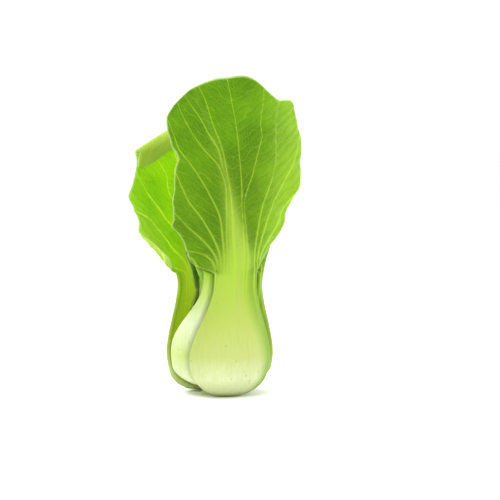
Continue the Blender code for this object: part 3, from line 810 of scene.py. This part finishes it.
def plain_leaf(
    name, bearings, girth, full_turn, thick, heights, widest, spread, lean, bend_radius, wave, phase
):
    """A leaf with the usual blade, wider above the middle and round at the top, laid in its turn."""
    _, join, top = heights
    shoulder = top - 0.42 * widest
    foot = girth * HEAD[-1][1] * np.radians(full_turn) * STALK_TURN[-1][1]
    side = tuple((join + up * (shoulder - join), foot + out * (widest - foot)) for up, out in PLAIN_SIDE)
    leaf = Leaf(
        name, bearings, girth, full_turn, thick, heights, shoulder, spread, lean, bend_radius,
        side, side, wave, phase,
    )
    leaf.veins = fan_of_veins(leaf, laterals=4 if widest < 24 else 5)
    laid.append(leaf)
    return leaf


right_leaf = plain_leaf("right_leaf", (17, 12, 15), 1, 52, 6.6, (4.2, 76, 178), 36, 17, 3, 48, 1.8, 1.0)
left_leaf = plain_leaf("left_leaf", (236, 272, 270), 1, 42, 7.0, (5.2, 78, 164), 25, 6, 1, 34, 1.2, 3.3)
back_leaf = plain_leaf("back_leaf", (70, 66, 62), 1, 50, 5.6, (8.6, 72, 168), 35, 15, 3, 50, 1.6, 5.0)
# The first stop, darker olive at the very foot, is painted shade where the stalk stands on the floor.
GREEN_STALK_COLOURS = (
    (0.0, "#929c5e"), (0.05, "#b8c286"), (0.16, "#b0bd76"), (0.34, "#92a848"), (0.6, "#789624"),
    (1.0, "#698b10"),
)
green_skin = leaf_skin("green_stalk_leaf_skin", "#70a400", "#5c8e00", "#a6ca38", GREEN_STALK_COLOURS)
grow(right_leaf, green_skin, 3, 56, 150, 101)
# The left leaf's white stalk. Its first stop is painted shade at the foot, and the whiter stop at 0.6 is a
# painted highlight where its bulge catches the light.
WHITE_STALK_AND_HIGHLIGHT_COLOURS = (
    (0.0, "#a0ab66"), (0.05, "#cdd69c"), (0.16, "#dae2ba"), (0.34, "#bfd080"), (0.6, "#dde4c2"),
    (0.86, "#bcd078"), (1.0, "#8fb23c"),
)
white_skin = leaf_skin("white_stalk_leaf_skin", "#70a400", "#5c8e00", "#a6ca38", WHITE_STALK_AND_HIGHLIGHT_COLOURS)
grow(left_leaf, white_skin, 4, 60, 130, 101)
grow(back_leaf, green_skin, 5, 56, 150, 101)

# The four inner leaves and the two heart leaves are younger, smaller and paler the further in they
# stand, because less light reaches them. Below the small height they get a coarser mesh.
inner_skin = leaf_skin("inner_leaf_skin", "#92c238", "#82b42c", "#cfe380", STALK_COLOURS)
heart_skin = leaf_skin("heart_leaf_skin", "#b3d358", "#a3c948", "#dcea9c", STALK_COLOURS, glow=0.4)
SMALL_HEIGHT = 130
YOUNG = (
    ("inner_front_leaf", (262, 272, 282), 0.9, 40, 4.6, (10.6, 70, 158), 28, 6, 1, 34, 1.0, 0.2),
    ("inner_right_leaf", (-24, -20, -14), 0.84, 46, 4.0, (13.6, 66, 150), 26, 8, 1, 30, 1.0, 2.6),
    ("inner_left_leaf", (134, 114, 110), 0.76, 46, 3.8, (13.8, 64, 144), 25, 6, 1, 28, 0.9, 4.1),
    ("inner_back_leaf", (48, 46, 46), 0.66, 44, 3.0, (17.6, 58, 128), 20, 6, 0, 22, 0.8, 1.7),
    ("heart_leaf_left", (232, 222, 215), 0.5, 44, 2.4, (18.4, 52, 110), 15, 3, 0, 16, 0.6, 0.9),
    ("heart_leaf_right", (352, 345, 340), 0.38, 42, 2.0, (21.6, 46, 94), 11, 2, 0, 12, 0.5, 3.9),
)
for seed, young in enumerate(YOUNG, 6):
    leaf = plain_leaf(*young)
    if leaf.heights[2] > SMALL_HEIGHT:
        grow(leaf, inner_skin, seed, 40, 90, 65, 0.4, 0.9)
    else:
        grow(leaf, heart_skin, seed, 30, 60, 45, 0.3, 0.6)

# The studio: a wide plain floor of white paper in an even white surround, with soft lights from the
# front left, the front right and above, and two from behind that shine through the thin blades.
FLOOR_SIDES, FLOOR_RADIUS = 64, 12.0
TOOTH_SIZE = 1.111
SURROUND = 1.03
turn = np.linspace(0, 2 * np.pi, FLOOR_SIDES, endpoint=False)
round_edge = [(FLOOR_RADIUS * np.cos(a), FLOOR_RADIUS * np.sin(a), 0) for a in turn]
floor_mesh = bpy.data.meshes.new("floor")
floor_mesh.from_pydata(round_edge, [], [range(FLOOR_SIDES)])
paper, tree, where = skin_tree("white_paper")
tooth = add(tree, "ShaderNodeTexNoise", {"Vector": where, "Scale": 1 / (TOOTH_SIZE * MM), "Detail": 3})
uneven = add(tree, "ShaderNodeBump", {"Strength": 0.1, "Distance": 0.2 * MM, "Height": tooth})
sheet = {"Base Color": linear("#fdfdfc"), "Roughness": 0.85, "Normal": uneven}
sheet = add(tree, "ShaderNodeBsdfPrincipled", sheet)
add(tree, "ShaderNodeOutputMaterial", [sheet])
floor_mesh.materials.append(paper)
floor = bpy.data.objects.new("floor", floor_mesh)
bpy.context.collection.objects.link(floor)

MIDDLE = Vector((0, 0, 0.1))
LIGHTS = (
    ("key", (-0.6, -0.98, 0.8), 1.1, 3.6),
    ("fill", (0.95, -0.9, 0.45), 1.1, 5.2),
    ("top", (0.0, -0.1, 1.25), 0.9, 3),
    ("behind", (-0.75, 0.6, 0.6), 0.6, 10.5),
    ("behind right", (0.85, 0.6, 0.4), 0.6, 4),
)
for name, place, size, power in LIGHTS:
    light = bpy.data.lights.new(name, "AREA")
    light.shape, light.size, light.energy = "DISK", size, power
    lamp = bpy.data.objects.new(name, light)
    lamp.location = place
    lamp.rotation_euler = (MIDDLE - Vector(place)).to_track_quat("-Z", "Y").to_euler()
    bpy.context.collection.objects.link(lamp)
world = bpy.data.worlds.new("studio")
world.use_nodes = True
world.node_tree.nodes["Background"].inputs["Color"].default_value = linear("#ffffff")
world.node_tree.nodes["Background"].inputs["Strength"].default_value = SURROUND
bpy.context.scene.world = world
bpy.context.scene.view_settings.view_transform = "Standard"

# The camera looks from the front, a little from above, with a long lens.
LENS, SENSOR = 120, 36
FRAME_WIDTH = 0.3076
AIM = Vector((0.0188, 0, 0.091))
ELEVATION = np.radians(4)
HEAD_FRONT = 0.033
distance = FRAME_WIDTH * LENS / SENSOR + HEAD_FRONT
camera = bpy.data.objects.new("camera", bpy.data.cameras.new("camera"))
camera.data.lens, camera.data.sensor_width = LENS, SENSOR
camera.location = AIM + distance * Vector((0, -np.cos(ELEVATION), np.sin(ELEVATION)))
camera.rotation_euler = (AIM - camera.location).to_track_quat("-Z", "Y").to_euler()
bpy.context.collection.objects.link(camera)
bpy.context.scene.camera = camera
